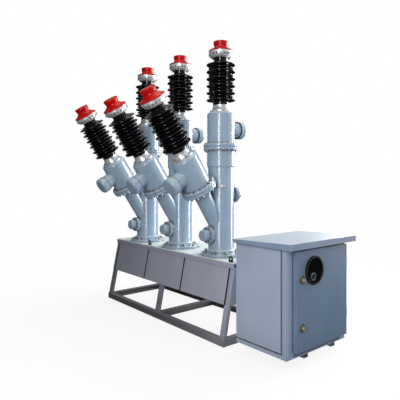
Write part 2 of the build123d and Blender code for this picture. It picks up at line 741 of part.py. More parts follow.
def hinge_pin(z):
    """Fixed knuckle on the cabinet with the pin that the door turns on."""
    low = -KNUCKLE_GAP / 2 - KNUCKLE_LENGTH
    high = KNUCKLE_GAP / 2 + KNUCKLE_LENGTH
    solid = rod(KNUCKLE_RADIUS, low, -KNUCKLE_GAP / 2) + rod(PIN_RADIUS, low, high)
    reach = cabinet_front - hinge_x
    solid += block(reach, 0, -LEAF_THICKNESS / 2, LEAF_THICKNESS / 2, low, -KNUCKLE_GAP / 2)
    return Pos(hinge_x, hinge_y, z) * solid


def hinge_leaf(z):
    """Knuckle on the door's edge, bored for the pin."""
    low = KNUCKLE_GAP / 2
    high = low + KNUCKLE_LENGTH
    solid = rod(KNUCKLE_RADIUS, low, high)
    solid += block(-LEAF_THICKNESS / 2, LEAF_THICKNESS / 2, -HINGE_OFFSET, 0, low, high)
    solid -= rod(PIN_RADIUS + PIN_SLACK, low, high)
    return Pos(hinge_x, hinge_y, z) * solid


save("hinge_pins", *[hinge_pin(z) for z in hinge_heights])
save("hinge_leaves", *[hinge_leaf(z) for z in hinge_heights])
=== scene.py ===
"""Looks of the outdoor gas breaker: enamel, glaze, castings, bolts, sheds and welds over the CAD frame."""

import json
import math

import bmesh
import bpy
from mathutils import Euler, Matrix, Vector


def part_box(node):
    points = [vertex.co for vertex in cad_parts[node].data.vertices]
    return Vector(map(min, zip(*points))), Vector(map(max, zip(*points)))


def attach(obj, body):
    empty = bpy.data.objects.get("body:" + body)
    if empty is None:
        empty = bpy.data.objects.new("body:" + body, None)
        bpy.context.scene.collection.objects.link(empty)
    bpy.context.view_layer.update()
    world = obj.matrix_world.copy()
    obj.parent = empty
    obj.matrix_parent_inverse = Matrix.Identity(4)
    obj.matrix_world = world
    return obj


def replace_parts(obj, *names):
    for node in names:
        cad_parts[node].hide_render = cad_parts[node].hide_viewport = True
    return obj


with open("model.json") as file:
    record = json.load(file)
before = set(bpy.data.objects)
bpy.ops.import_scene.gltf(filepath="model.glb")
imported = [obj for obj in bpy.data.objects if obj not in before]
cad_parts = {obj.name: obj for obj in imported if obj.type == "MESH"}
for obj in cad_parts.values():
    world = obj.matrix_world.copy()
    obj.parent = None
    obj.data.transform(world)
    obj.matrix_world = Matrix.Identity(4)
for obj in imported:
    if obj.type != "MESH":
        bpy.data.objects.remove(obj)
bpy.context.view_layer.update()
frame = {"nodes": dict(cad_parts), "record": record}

# Camera, from the fit to the photograph
CAMERA_PLACE = (4.223, -3.3, 1.62)
CAMERA_TURN_DEG = 50.23
IMAGE_SIDE = 400
FOCAL_PIXELS = 432.0
HORIZON_ROW = 179.8
SENSOR_MM = 36.0

# Poles: what the boxes of the nodes don't give, in metres
POLES = ("a", "b", "c")
BRANCH_TILT = math.radians(33.6)
BRANCH_HEIGHT = 0.258
BRANCH_LENGTH = 0.575
BRANCH_RADIUS = 0.090
COLUMN_RADIUS = 0.140
COLLAR_RADIUS = 0.150
HOUSING_RADIUS = 0.150
BASE_FLANGE_THICKNESS = 0.028
RING_THICKNESS = 0.034
RING_EDGE = 0.010
LOW_RIM = 0.015
LOW_RIM_RADIUS = 0.118
LOW_CONE_RADIUS = 0.102
TOP_RIM = 0.024
TOP_RIM_RADIUS = 0.131
TOP_FITTING_LENGTH = 0.070
CORE_RADIUS = 0.078
CORE_FOOT_RADIUS = 0.086
SHED_ROWS = 11
SHED_SPACING = 0.0385
FIRST_SHED = 0.054
SHED_EDGE = 0.0045
SHED_RISE = 0.0366
SHED_HOLLOW = 0.0046
SMALL_SHED_SHARE = 0.136 / 0.158
SIDE_PORT_PLACE = 0.200
SIDE_NECK_RADIUS = 0.086
SIDE_REACH = 0.234
SIDE_COVER_RADIUS = 0.097
FRONT_PORT_HEIGHT = 0.230
FRONT_FLANGE_RADIUS = 0.091
FRONT_COVER_RADIUS = 0.060
FRONT_REACH = 0.184
REAR_PORT_HEIGHT = 0.654
REAR_FLANGE_RADIUS = 0.086
REAR_DOME_RADIUS = 0.066
REAR_REACH = 0.196
PORT_FLANGE_THICKNESS = 0.015
BOSS_HEIGHT = 0.755
BOSS_FACE = 0.154
BOSS_TURN = math.radians(-40)

# Sides of the turned meshes
WIDE_TURN = 96
ROUND_TURN = 64
SMALL_TURN = 48
ARC_STEPS = 6
SHARP_EDGE = math.radians(35)


# Places that the frame gives
def shift(x, y, z):
    return Matrix.Translation((x, y, z))


def turned(angle, axis):
    return Matrix.Rotation(angle, 4, axis)


def middle(node, axis):
    """Middle of a node's box along an axis."""
    low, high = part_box(node)
    return (low[axis] + high[axis]) / 2


def half_width(node):
    """Half of a node's box along X."""
    low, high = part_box(node)
    return (high[0] - low[0]) / 2


stand_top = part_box("top_plate")[1][2]
ring_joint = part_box("pole_a_vertical_housing")[0][2]
ring_radius = half_width("pole_a_vertical_housing")
housing_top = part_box("pole_a_vertical_housing")[1][2] - ring_joint
bushing_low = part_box("pole_a_vertical_bushing")[0][2] - ring_joint
bushing_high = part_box("pole_a_vertical_bushing")[1][2] - ring_joint
shed_radius = half_width("pole_a_vertical_bushing")
pole_x = {pole: middle(f"pole_{pole}_tank", 0) for pole in POLES}
pole_y = middle("pole_a_vertical_bushing", 1)
column_places = {pole: shift(x, pole_y, stand_top) for pole, x in pole_x.items()}
branch_places = {}
arm_places = {}
side_ports = []
front_ports = []
rear_ports = []
for pole, column in column_places.items():
    branch_places[pole] = column @ shift(0, 0, BRANCH_HEIGHT) @ turned(BRANCH_TILT, "X")
    arm_places[pole, "vertical"] = shift(pole_x[pole], pole_y, ring_joint)
    arm_places[pole, "inclined"] = branch_places[pole] @ shift(0, 0, BRANCH_LENGTH)
    for arm, turn in (("vertical", -math.pi / 2), ("inclined", math.pi / 2)):
        side_ports.append(arm_places[pole, arm] @ shift(0, 0, SIDE_PORT_PLACE) @ turned(turn, "X"))
    front_ports.append(column @ shift(0, 0, FRONT_PORT_HEIGHT) @ turned(math.pi / 2, "X"))
    rear_ports.append(column @ shift(0, 0, REAR_PORT_HEIGHT) @ turned(-math.pi / 2, "X"))


# Node helpers
def add(tree, kind, inputs=None, **settings):
    """Add a node with its settings; an input is a value, another node's output or a list of outputs."""
    node = tree.nodes.new(kind)
    for name, value in settings.items():
        setattr(node, name, value)
    for name, value in (inputs or {}).items():
        sources = value if isinstance(value, list) else [value]
        if isinstance(sources[0], bpy.types.NodeSocket):
            for source in sources:
                tree.links.new(source, node.inputs[name])
        else:
            node.inputs[name].default_value = value
    return node


def maths(tree, operation, *values):
    """Result of an operation on values or outputs."""
    return add(tree, "ShaderNodeMath", dict(enumerate(values)), operation=operation).outputs["Value"]


def vector(tree, **parts):
    """Vector from the parts that aren't zero."""
    return add(tree, "ShaderNodeCombineXYZ", parts).outputs["Vector"]


def linear(hex_colour):
    """Linear RGBA from an sRGB hex value such as 9db3c6."""
    parts = [int(hex_colour[i:i + 2], 16) / 255 for i in (0, 2, 4)]
    return tuple(p / 12.92 if p <= 0.04045 else ((p + 0.055) / 1.055) ** 2.4 for p in parts) + (1.0,)


def new_material(name):
    """Empty material, its tree and the coordinates of the object that wears it."""
    material = bpy.data.materials.new(name)
    material.use_nodes = True
    tree = material.node_tree
    tree.nodes.clear()
    return material, tree, add(tree, "ShaderNodeTexCoord").outputs["Object"]


def noise(tree, place, size_mm, detail, roughness=0.5):
    """Cloudy values with features of about this size."""
    inputs = {"Vector": place, "Scale": 1000.0 / size_mm, "Detail": detail, "Roughness": roughness}
    return add(tree, "ShaderNodeTexNoise", inputs).outputs["Fac"]


def spread(tree, value, taken, given):
    """Value taken over one range and given out over another, held at the ends."""
    inputs = {"Value": value, "From Min": taken[0], "From Max": taken[1],
              "To Min": given[0], "To Max": given[1]}
    return add(tree, "ShaderNodeMapRange", inputs).outputs["Result"]


def blend(tree, share, first, second):
    """Colour between two, each a hex value or an output."""
    first, second = [linear(c) if isinstance(c, str) else c for c in (first, second)]
    inputs = {"Factor": share, "A": first, "B": second}
    return add(tree, "ShaderNodeMix", inputs, data_type="RGBA").outputs["Result"]


def facing_up(tree):
    """How far the surface faces the sky."""
    normal = add(tree, "ShaderNodeNewGeometry").outputs["Normal"]
    return add(tree, "ShaderNodeSeparateXYZ", {"Vector": normal}).outputs["Z"]


def openness(tree, reach):
    """How open the surface is within a reach: low in corners and joints."""
    return add(tree, "ShaderNodeAmbientOcclusion", {"Distance": reach}, samples=6).outputs["AO"]


def surfaced(material, tree, colour, roughness, relief, constants):
    """Close a material with a relief of height, strength and depth, and with the shader's own constants."""
    height, strength, depth = relief
    bump = add(tree, "ShaderNodeBump", {"Height": height, "Strength": strength, "Distance": depth})
    inputs = {"Base Color": colour, "Roughness": roughness, "Normal": bump.outputs["Normal"], **constants}
    shader = add(tree, "ShaderNodeBsdfPrincipled", inputs)
    add(tree, "ShaderNodeOutputMaterial", {"Surface": shader.outputs["BSDF"]})
    return material


# Materials: lengths in metres, patterns in millimetres
PAINT_CORNER = 0.045
PLATE_CORNER = 0.12
METAL_CORNER = 0.02
# Reach of the pale edges: worn paint and a painted highlight
WORN_LIT_EDGE = 0.003
NEAR_END = 1.1
SPLASH_HEIGHTS = (0.02, 0.35)
RUN_STRETCH = (1.0, 1.0, 0.12)
FINE_RELIEF = 0.001
DEEP_RELIEF = 0.002
GRAIN_RELIEF = 0.0006
WHOLE = (0.0, 1.0)
MIDDLE_NOISE = (0.3, 0.7)


def sprayed_enamel(name, colour, chalk_and_sky_light, gloss, shine=0.3, chalk_and_sky_light_top=0.4, splash=0.0, far_darkening=0.0,
                   far_end=-1.2, grime_and_shade=0.8, rub_and_edge_light=0.5):
    """Enamel sprayed on steel: an even coat with a faint orange peel and rain runs, darker towards the far
    end, with dirt and painted shade in the corners, worn edges with a painted highlight, and powdery paint
    with painted sky light where it faces up."""
    material, tree, place = new_material(name)
    axes = add(tree, "ShaderNodeSeparateXYZ", {"Vector": place}).outputs
    patches = noise(tree, place, size_mm=320, detail=4.0)
    run_place = add(tree, "ShaderNodeMapping", {"Vector": place, "Scale": RUN_STRETCH}).outputs["Vector"]
    runs = noise(tree, run_place, size_mm=130, detail=3.0, roughness=0.45)
    tone = spread(tree, patches, MIDDLE_NOISE, (0.94, 1.04))
    run_tone = spread(tree, runs, (0.5, 0.85), (1.0, 0.93))
    # Darker towards the far end, -X
    far_tone = spread(tree, axes["X"], (far_end, NEAR_END), (1.0 - far_darkening, 1.0))
    shade = maths(tree, "MULTIPLY", maths(tree, "MULTIPLY", tone, run_tone), far_tone)
    coat = add(
        tree, "ShaderNodeVectorMath", {0: linear(colour)[:3], "Scale": shade}, operation="SCALE"
    ).outputs["Vector"]
    # Faces that look up go towards a pale colour: powdery weathered paint, plus painted sky light and
    # reflection
    coat = blend(tree, spread(tree, facing_up(tree), (0.3, 0.95), (0.0, chalk_and_sky_light_top)), coat, chalk_and_sky_light)
    # Darker where the surface is closed in, in corners and joints: dirt and painted shade
    corner_dirt_and_shade = spread(tree, openness(tree, PAINT_CORNER), (0.25, 0.75), (grime_and_shade, 0.0))
    splashed = maths(tree, "MULTIPLY", spread(tree, axes["Z"], SPLASH_HEIGHTS, (splash, 0.0)), patches)
    coat = blend(tree, maths(tree, "MAXIMUM", corner_dirt_and_shade, splashed), coat, "3a3733")
    # Edges go pale: worn paint and a painted highlight where an edge catches the light
    flat = add(tree, "ShaderNodeNewGeometry").outputs["Normal"]
    soft = add(tree, "ShaderNodeBevel", {"Radius": WORN_LIT_EDGE}, samples=4).outputs["Normal"]
    edge = add(tree, "ShaderNodeVectorMath", {0: soft, 1: flat}, operation="DOT_PRODUCT").outputs["Value"]
    rubbed_and_lit = maths(tree, "MULTIPLY", spread(tree, edge, (0.8, 0.97), (rub_and_edge_light, 0.0)), patches)
    coat = blend(tree, rubbed_and_lit, coat, "d3d9de")
    roughness = spread(tree, runs, MIDDLE_NOISE, (gloss - 0.03, gloss + 0.06))
    # Orange peel is about 3 mm wide and is drawn at 9 mm so that it shows
    peel = noise(tree, place, size_mm=9, detail=1.0)
    constants = {"IOR": 1.5, "Coat Weight": shine, "Coat Roughness": 0.1}
    return surfaced(material, tree, coat, roughness, (peel, 0.03, FINE_RELIEF), constants)


def trodden_plate():
    """Primer on a steel plate that people stand on: pale partly from its own colour and partly from painted
    sky light on its upward face, scuffed, with soil round the flanges.
    """
    material, tree, place = new_material("trodden_sky_lit_primer")
    grit = noise(tree, place, size_mm=60, detail=7.0, roughness=0.65)
    hollow = maths(tree, "SUBTRACT", 1.0, openness(tree, PLATE_CORNER))
    soil = spread(tree, maths(tree, "ADD", hollow, grit), (0.62, 0.95), (0.0, 0.9))
    scuffs = noise(tree, place, size_mm=140, detail=5.0)
    # The pale colours carry painted sky light as well as the primer's own tone
    colour = blend(tree, soil, blend(tree, scuffs, "cbdadb", "effaf8"), "3f3a30")
    roughness = spread(tree, soil, WHOLE, (0.45, 0.9))
    return surfaced(material, tree, colour, roughness, (grit, 0.25, DEEP_RELIEF), {})


def moulded_silicone(name, colour, deep, film, gloss):
    """Silicone rubber moulded in a polished tool: saturated and smooth, with a thin film of dust on top."""
    material, tree, place = new_material(name)
    clouds = noise(tree, place, size_mm=90, detail=4.0)
    settled = spread(tree, facing_up(tree), (0.5, 1.0), (0.0, 0.12))
    settled = maths(tree, "MULTIPLY", settled, clouds)
    base = blend(tree, settled, blend(tree, clouds, deep, colour), film)
    roughness = spread(tree, clouds, MIDDLE_NOISE, (gloss - 0.05, gloss + 0.08))
    # The tool's fine grain is drawn at 4 mm so that it shows
    grain = noise(tree, place, size_mm=4, detail=2.0)
    constants = {"IOR": 1.43, "Specular IOR Level": 0.35}
    return surfaced(material, tree, base, roughness, (grain, 0.05, GRAIN_RELIEF), constants)


def glazed_porcelain():
    """Dark brown porcelain under a fired glaze: almost black, glassy, with thicker glaze in the roots."""
    material, tree, place = new_material("dark_glazed_porcelain")
    pools = noise(tree, place, size_mm=50, detail=3.0)
    colour = blend(tree, pools, "07070a", "141217")
    roughness = spread(tree, pools, MIDDLE_NOISE, (0.09, 0.18))
    constants = {"IOR": 1.5, "Coat Weight": 0.5, "Coat Roughness": 0.04, "Specular IOR Level": 0.3}
    return surfaced(material, tree, colour, roughness, (pools, 0.08, DEEP_RELIEF), constants)


def cast_metal(name, bright, dull, roughness, grain_mm, strength, bare=1.0):
    """Metal left as it came from the mould or the bath: bright and dull patches with a grainy skin; less
    bare where a pale oxide film has grown."""
    material, tree, place = new_material(name)
    patches = noise(tree, place, size_mm=35, detail=5.0)
    grain = noise(tree, place, size_mm=grain_mm, detail=3.0)
    tarnish = spread(tree, maths(tree, "MULTIPLY", patches, openness(tree, METAL_CORNER)), (0.15, 0.5), WHOLE)
    finish = spread(tree, grain, MIDDLE_NOISE, (roughness - 0.08, roughness + 0.1))
    colour = blend(tree, tarnish, dull, bright)
    return surfaced(material, tree, colour, finish, (grain, strength, FINE_RELIEF), {"Metallic": bare})


def moulded_rubber():
    """Black rubber profile, extruded and vulcanised: matt and deep, with a little grey bloom."""
    material, tree, place = new_material("extruded_black_rubber")
    bloom = noise(tree, place, size_mm=25, detail=5.0)
    roughness = spread(tree, bloom, WHOLE, (0.42, 0.7))
    constants = {"IOR": 1.52, "Specular IOR Level": 0.15}
    colour = blend(tree, bloom, "07080a", "14161a")
    return surfaced(material, tree, colour, roughness, (bloom, 0.15, FINE_RELIEF), constants)


def shade_tinted_glass():
    """Float glass tinted near black to look into, which is painted shade of the cabinet's dark inside; clear
    reflections, a little dust.
    """
    material, tree, place = new_material("shade_tinted_float_glass")
    dust = noise(tree, place, size_mm=30, detail=6.0)
    roughness = spread(tree, dust, (0.4, 0.8), (0.02, 0.12))
    # Near-black tint: painted shade of the dark inside behind the window
    colour = blend(tree, dust, "05080b", "12171b")
    return surfaced(material, tree, colour, roughness, (dust, 0.02, FINE_RELIEF), {"IOR": 1.52, "Alpha": 0.4})


def moulded_plastic():
    """White ABS moulding behind the window: satin, slightly yellowed, with a fine texture."""
    material, tree, place = new_material("yellowed_white_plastic")
    age = noise(tree, place, size_mm=20, detail=3.0)
    roughness = spread(tree, age, WHOLE, (0.35, 0.5))
    colour = blend(tree, age, "e6e4da", "f3f3f0")
    return surfaced(material, tree, colour, roughness, (age, 0.1, FINE_RELIEF), {"IOR": 1.54})


tank_enamel = sprayed_enamel("tank_gloss_enamel", "94a9bc", "d9e6e8", 0.26, shine=0.6, chalk_and_sky_light_top=0.6)
stand_enamel = sprayed_enamel("stand_satin_enamel", "aaadbc", "a4a6ac", 0.4, splash=0.9, far_darkening=0.4)
leg_enamel = sprayed_enamel(
    "leg_satin_enamel", "a2a7b6", "b4b8c0", 0.45, splash=0.7, far_darkening=0.6, far_end=-0.3
)
rail_enamel = sprayed_enamel(
    "rail_dull_enamel", "9c9ca8", "a09d9c", 0.5, splash=0.8, far_darkening=0.6, far_end=0.0
)
# The cabinet's paint comes as copies of one enamel in different brightness. The darker copy on the door is
# painted shade on faces that look away from the light. The paler copies on the cover, walls, floor, posts and
# roof are painted light on faces that look towards it.
shaded_cabinet_enamel = sprayed_enamel(
    "cabinet_shaded_satin_enamel", "6a809b", "a9b8c6", 0.46, shine=0.0, splash=0.4, grime_and_shade=0.3, rub_and_edge_light=1.6
)
sky_lit_roof_enamel = sprayed_enamel("roof_bleached_sky_lit_enamel", "8496b0", "c3d0dc", 0.4, shine=0.1, chalk_and_sky_light_top=0.8)
lit_post_enamel = sprayed_enamel("post_lit_satin_enamel", "98a9bf", "a9b8c8", 0.45, shine=0.05, splash=0.2)
lit_cabinet_enamel = sprayed_enamel("cabinet_lit_enamel", "aab6cc", "c9cfd8", 0.42, splash=0.3, grime_and_shade=0.3)
red_silicone = moulded_silicone("red_moulded_silicone", "cb120c", "9c0808", "b0665e", 0.22)
shed_porcelain = glazed_porcelain()
plate_primer = trodden_plate()
# Sand grain is about 0.5 mm and is drawn at 3 mm so that it shows
cast_aluminium = cast_metal("sand_cast_aluminium", "f4f6f8", "9ea6ad", 0.32, 3.0, 0.2, bare=0.6)
# Spangle of a dip in zinc
zinc_steel = cast_metal("galvanised_steel", "c2c6ca", "777a7d", 0.42, 6.0, 0.1)
# Zinc that the weather has turned dark
dark_zinc = cast_metal("weathered_zinc_steel", "6d7276", "2c2f32", 0.5, 6.0, 0.1)
nickel_brass = cast_metal("nickel_plated_brass", "e6dcc0", "a2946f", 0.24, 5.0, 0.04, bare=0.75)
black_rubber = moulded_rubber()
window_glass = shade_tinted_glass()
white_plastic = moulded_plastic()

SLOT_MATERIALS = {
    "tank_paint": tank_enamel,
    "stand_paint": stand_enamel,
    "cabinet_paint": shaded_cabinet_enamel,
    "red_paint": red_silicone,
    "shed_glaze": shed_porcelain,
    "cast_fitting": cast_aluminium,
    "black_rubber": black_rubber,
    "window_glass": window_glass,
    "indicator": white_plastic,
    "lock_metal": nickel_brass,
    "hinge_steel": zinc_steel,
}
NODE_MATERIALS = {
    "top_plate": plate_primer,
    "base_side_rails": rail_enamel,
    "base_cross_rails": rail_enamel,
    "legs": leg_enamel,
    "cabinet_feet": leg_enamel,
    "cabinet_floor": lit_cabinet_enamel,
    "cabinet_far_wall": lit_cabinet_enamel,
    "cabinet_back_wall": lit_cabinet_enamel,
    "cabinet_link": lit_cabinet_enamel,
    "lifting_eyes": dark_zinc,
    "cabinet_side_cover": lit_cabinet_enamel,
    "cabinet_posts": lit_post_enamel,
    "cabinet_roof": sky_lit_roof_enamel,
}
for part in frame["record"]["subparts"]:
    mesh = frame["nodes"][part["node"]].data
    mesh.materials.clear()
    mesh.materials.append(NODE_MATERIALS.get(part["node"], SLOT_MATERIALS[part["material_slot"]]))


# Meshes
def new_piece(name, mesh, body):
    """Piece at the origin that rides on a body; its finish is the material on its mesh."""
    piece = bpy.data.objects.new(name, mesh)
    bpy.context.collection.objects.link(piece)
    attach(piece, body)
    return piece


def drawn(bm, name):
    """Mesh of what was drawn."""
    mesh = bpy.data.meshes.new(name)
    bm.to_mesh(mesh)
    bm.free()
    return mesh


def turns(count, start=0.0):
    """Angles of even steps round a circle; the start is a share of a step."""
    return [2 * math.pi * (i + start) / count for i in range(count)]


def on_circle(radius, turn, height):
    return Vector((radius * math.cos(turn), radius * math.sin(turn), height))


def lathe(name, profile, segments, closed=False):
    """Turned mesh about Z from points of radius and height."""
    bm = bmesh.new()
    rings = []
    for radius, height in profile:
        around = turns(segments) if radius else [0.0]
        rings.append([bm.verts.new(on_circle(radius, turn, height)) for turn in around])
    pairs = list(zip(rings, rings[1:])) + ([(rings[-1], rings[0])] if closed else [])
    for low, high in pairs:
        for i in range(segments):
            j = i + 1
            corners = [low[i % len(low)], low[j % len(low)], high[j % len(high)], high[i % len(high)]]
            bm.faces.new(list(dict.fromkeys(corners)))
    bmesh.ops.recalc_face_normals(bm, faces=bm.faces)
    mesh = drawn(bm, name)
    mesh.shade_smooth()
    mesh.set_sharp_from_angle(angle=SHARP_EDGE)
    return mesh


def draw_prism(bm, first, last):
    """Faces between two outlines of as many corners, and on both ends."""
    ends = [[bm.verts.new(point) for point in outline] for outline in (first, last)]
    count = len(first)
    for i in range(count):
        j = (i + 1) % count
        bm.faces.new((ends[0][i], ends[0][j], ends[1][j], ends[1][i]))
    bm.faces.new(ends[0])
    bm.faces.new(ends[1])


def round_edges(bm, radius):
    bmesh.ops.bevel(bm, geom=list(bm.edges), offset=radius, segments=2, affect="EDGES", profile=0.5)


def joined(name, placed_meshes, material):
    """One mesh from meshes and their places."""
    bm = bmesh.new()
    for mesh, place in placed_meshes:
        copy = mesh.copy()
        copy.transform(place)
        bm.from_mesh(copy)
        bpy.data.meshes.remove(copy)
    mesh = drawn(bm, name)
    mesh.materials.append(material)
    return mesh


def rubber_piece(name, placed_meshes, body):
    """Piece of black rubber from meshes and their places."""
    new_piece(name, joined(name, placed_meshes, black_rubber), body)


# Node trees that make what repeats
def new_tree(name, numbers, counts=()):
    """Geometry tree with named numbers and counts, and a material, as its inputs."""
    tree = bpy.data.node_groups.new(name, "GeometryNodeTree")
    kinds = {"Geometry": "NodeSocketGeometry"}
    kinds.update({label: "NodeSocketInt" for label in counts})
    kinds.update({label: "NodeSocketFloat" for label in numbers})
    kinds["Material"] = "NodeSocketMaterial"
    for label, kind in kinds.items():
        tree.interface.new_socket(label, in_out="INPUT", socket_type=kind)
    tree.interface.new_socket("Geometry", in_out="OUTPUT", socket_type="NodeSocketGeometry")
    return tree, add(tree, "NodeGroupInput").outputs


def end_tree(tree, geometry, material):
    real = add(tree, "GeometryNodeRealizeInstances", {"Geometry": geometry}).outputs["Geometry"]
    finished = add(tree, "GeometryNodeSetMaterial", {"Geometry": real, "Material": material})
    add(tree, "NodeGroupOutput", {"Geometry": finished.outputs["Geometry"]})
    return tree


def grown(name, mesh, tree, inputs):
    """Plain mesh that a tree makes from a mesh, with the tree's inputs set by name."""
    holder = bpy.data.objects.new(name, mesh)
    bpy.context.collection.objects.link(holder)
    modifier = holder.modifiers.new(name, "NODES")
    modifier.node_group = tree
    for socket in tree.interface.items_tree:
        if socket.in_out == "INPUT" and socket.name in inputs:
            modifier[socket.identifier] = inputs[socket.name]
    bpy.context.view_layer.update()
    made = bpy.data.meshes.new_from_object(holder.evaluated_get(bpy.context.evaluated_depsgraph_get()))
    made.name = name
    holder.modifiers.clear()
    bpy.data.objects.remove(holder)
    return made


HEXAGON = 6
HEXAGON_RADIUS = 1 / math.sqrt(3)
CHAMFER_TOP = 0.45
CHAMFER_HEIGHT = 0.06
WASHER_SIDES = 18
STUD_SIDES = 10


def hex_bolt_tree():
    """Washer, hexagon and stud end on each point, along the point's axis; sizes are shares of the width."""
    tree, given = new_tree(
        "hex_bolts", ("Head Height", "Washer Radius", "Washer Thickness", "Stud Radius", "Stud Length")
    )

    def cylinder(sides, radius, height, foot):
        """Cylinder that stands on a height."""
        inputs = {"Vertices": sides, "Radius": radius, "Depth": height}
        mesh = add(tree, "GeometryNodeMeshCylinder", inputs).outputs["Mesh"]
        return lifted(mesh, maths(tree, "MULTIPLY_ADD", height, 0.5, foot))

    def lifted(mesh, height):
        inputs = {"Geometry": mesh, "Translation": vector(tree, Z=height)}
        return add(tree, "GeometryNodeTransform", inputs).outputs["Geometry"]

    washer_top = given["Washer Thickness"]
    head_top = maths(tree, "ADD", washer_top, given["Head Height"])
    cone = {"Vertices": HEXAGON, "Radius Bottom": HEXAGON_RADIUS, "Radius Top": CHAMFER_TOP,
            "Depth": CHAMFER_HEIGHT}
    bolt = add(tree, "GeometryNodeJoinGeometry", {"Geometry": [
        cylinder(WASHER_SIDES, given["Washer Radius"], washer_top, 0.0),
        cylinder(HEXAGON, HEXAGON_RADIUS, given["Head Height"], washer_top),
        lifted(add(tree, "GeometryNodeMeshCone", cone).outputs["Mesh"], head_top),
        cylinder(STUD_SIDES, given["Stud Radius"], given["Stud Length"], head_top),
    ]}).outputs["Geometry"]
    axis = add(tree, "GeometryNodeInputNamedAttribute", {"Name": "axis"}, data_type="FLOAT_VECTOR")
    turn = add(tree, "FunctionNodeAlignRotationToVector", {"Vector": axis.outputs["Attribute"]}, axis="Z")
    width = add(tree, "GeometryNodeInputNamedAttribute", {"Name": "width"}, data_type="FLOAT")
    placed = add(
        tree, "GeometryNodeInstanceOnPoints",
        {"Points": given["Geometry"], "Instance": bolt, "Rotation": turn.outputs["Rotation"],
         "Scale": width.outputs["Attribute"]},
    ).outputs["Instances"]
    return end_tree(tree, placed, given["Material"])


def odd_row(tree):
    """One on every second point, and zero on the others."""
    row = add(tree, "GeometryNodeInputIndex").outputs["Index"]
    return maths(tree, "MODULO", row, 2.0)


def shed_stack_tree():
    """Large and small sheds in turn up the core, from one turned shed."""
    tree, given = new_tree("shed_stack", ("Spacing", "Small Share"), ("Rows",))
    steps = {"Count": given["Rows"], "Offset": vector(tree, Z=given["Spacing"])}
    line = add(tree, "GeometryNodeMeshLine", steps).outputs["Mesh"]
    less = maths(tree, "SUBTRACT", given["Small Share"], 1.0)
    across = maths(tree, "MULTIPLY_ADD", odd_row(tree), less, 1.0)
    size = vector(tree, X=across, Y=across, Z=1.0)
    sheds = add(
        tree, "GeometryNodeInstanceOnPoints", {"Points": line, "Instance": given["Geometry"], "Scale": size}
    ).outputs["Instances"]
    return end_tree(tree, sheds, given["Material"])


BEAD_RADIUS = 0.005
BEAD_STEP = 0.008
BEAD_SIDES = 8
BEAD_LOW = 0.85
BEAD_RIPPLE = 0.22


def weld_bead_tree():
    """Rippled bead along an edge loop."""
    tree, given = new_tree("weld_bead", ("Bead Radius", "Ripple"))
    path = add(tree, "GeometryNodeMeshToCurve", {"Mesh": given["Geometry"]}).outputs["Curve"]
    path = add(
        tree, "GeometryNodeResampleCurve", {"Curve": path, "Length": given["Ripple"]}, mode="LENGTH"
    ).outputs["Curve"]
    thick = maths(tree, "MULTIPLY_ADD", odd_row(tree), BEAD_RIPPLE, BEAD_LOW)
    path = add(tree, "GeometryNodeSetCurveRadius", {"Curve": path, "Radius": thick}).outputs["Curve"]
    circle = {"Resolution": BEAD_SIDES, "Radius": given["Bead Radius"]}
    section = add(tree, "GeometryNodeCurvePrimitiveCircle", circle).outputs["Curve"]
    sweep = {"Curve": path, "Profile Curve": section, "Scale": thick}
    bead = add(tree, "GeometryNodeCurveToMesh", sweep).outputs["Mesh"]
    smooth = add(tree, "GeometryNodeSetShadeSmooth", {"Geometry": bead}).outputs["Geometry"]
    return end_tree(tree, smooth, given["Material"])


# Bolts: sizes as shares of the width across flats
def bolt_shares(head, washer_radius, washer, stud_radius, stud):
    return {"Head Height": head, "Washer Radius": washer_radius, "Washer Thickness": washer,
            "Stud Radius": stud_radius, "Stud Length": stud}


NUT = bolt_shares(head=0.54, washer_radius=0.62, washer=0.12, stud_radius=0.33, stud=0.3)
HEAD = bolt_shares(head=0.42, washer_radius=0.62, washer=0.12, stud_radius=0.4, stud=0.02)
SCREW = bolt_shares(head=0.3, washer_radius=0.6, washer=0.06, stud_radius=0.3, stud=0.02)
CLAMP = bolt_shares(head=1.7, washer_radius=0.6, washer=0.1, stud_radius=0.33, stud=0.2)
bolt_tree = hex_bolt_tree()


def bolt_circle(place, height, radius, count, width, points_up=True):
    """Points, axes and widths of bolts on a circle about a place's Z axis."""
    axis = place.to_3x3() @ Vector((0, 0, 1 if points_up else -1))
    return [(place @ on_circle(radius, turn, height), axis, width) for turn in turns(count, 0.5)]


def bolts(name, points, shares, body="structure", material=zinc_steel):
    """Piece with a bolt on each point."""
    mesh = bpy.data.meshes.new(name)
    mesh.from_pydata([p[0] for p in points], [], [])
    mesh.attributes.new("axis", "FLOAT_VECTOR", "POINT")
    mesh.attributes.new("width", "FLOAT", "POINT")
    for i, (_, axis, width) in enumerate(points):
        mesh.attributes["axis"].data[i].vector = axis
        mesh.attributes["width"].data[i].value = width
    new_piece(name, grown(name, mesh, bolt_tree, {**shares, "Material": material}), body)


RING_BOLTS = 16
RING_BOLT_WIDTH = 0.022
BASE_BOLTS = 8
BASE_BOLT_WIDTH = 0.030
FITTING_BOLTS = 10
FITTING_BOLT_WIDTH = 0.013
RIM_SCREWS = 20
RIM_SCREW_WIDTH = 0.010
PORT_BOLTS = 8
PORT_BOLT_WIDTH = 0.017
ring_circle = (HOUSING_RADIUS + ring_radius) / 2 - RING_EDGE / 4
base_circle = (COLLAR_RADIUS + half_width("pole_a_tank")) / 2
fitting_circle = (LOW_CONE_RADIUS + LOW_RIM_RADIUS) / 2
rim_circle = TOP_RIM_RADIUS - RIM_SCREW_WIDTH / 3
rim_under = bushing_high + TOP_FITTING_LENGTH - TOP_RIM
front_circle = (FRONT_COVER_RADIUS + FRONT_FLANGE_RADIUS) / 2
rear_circle = (REAR_DOME_RADIUS + REAR_FLANGE_RADIUS) / 2

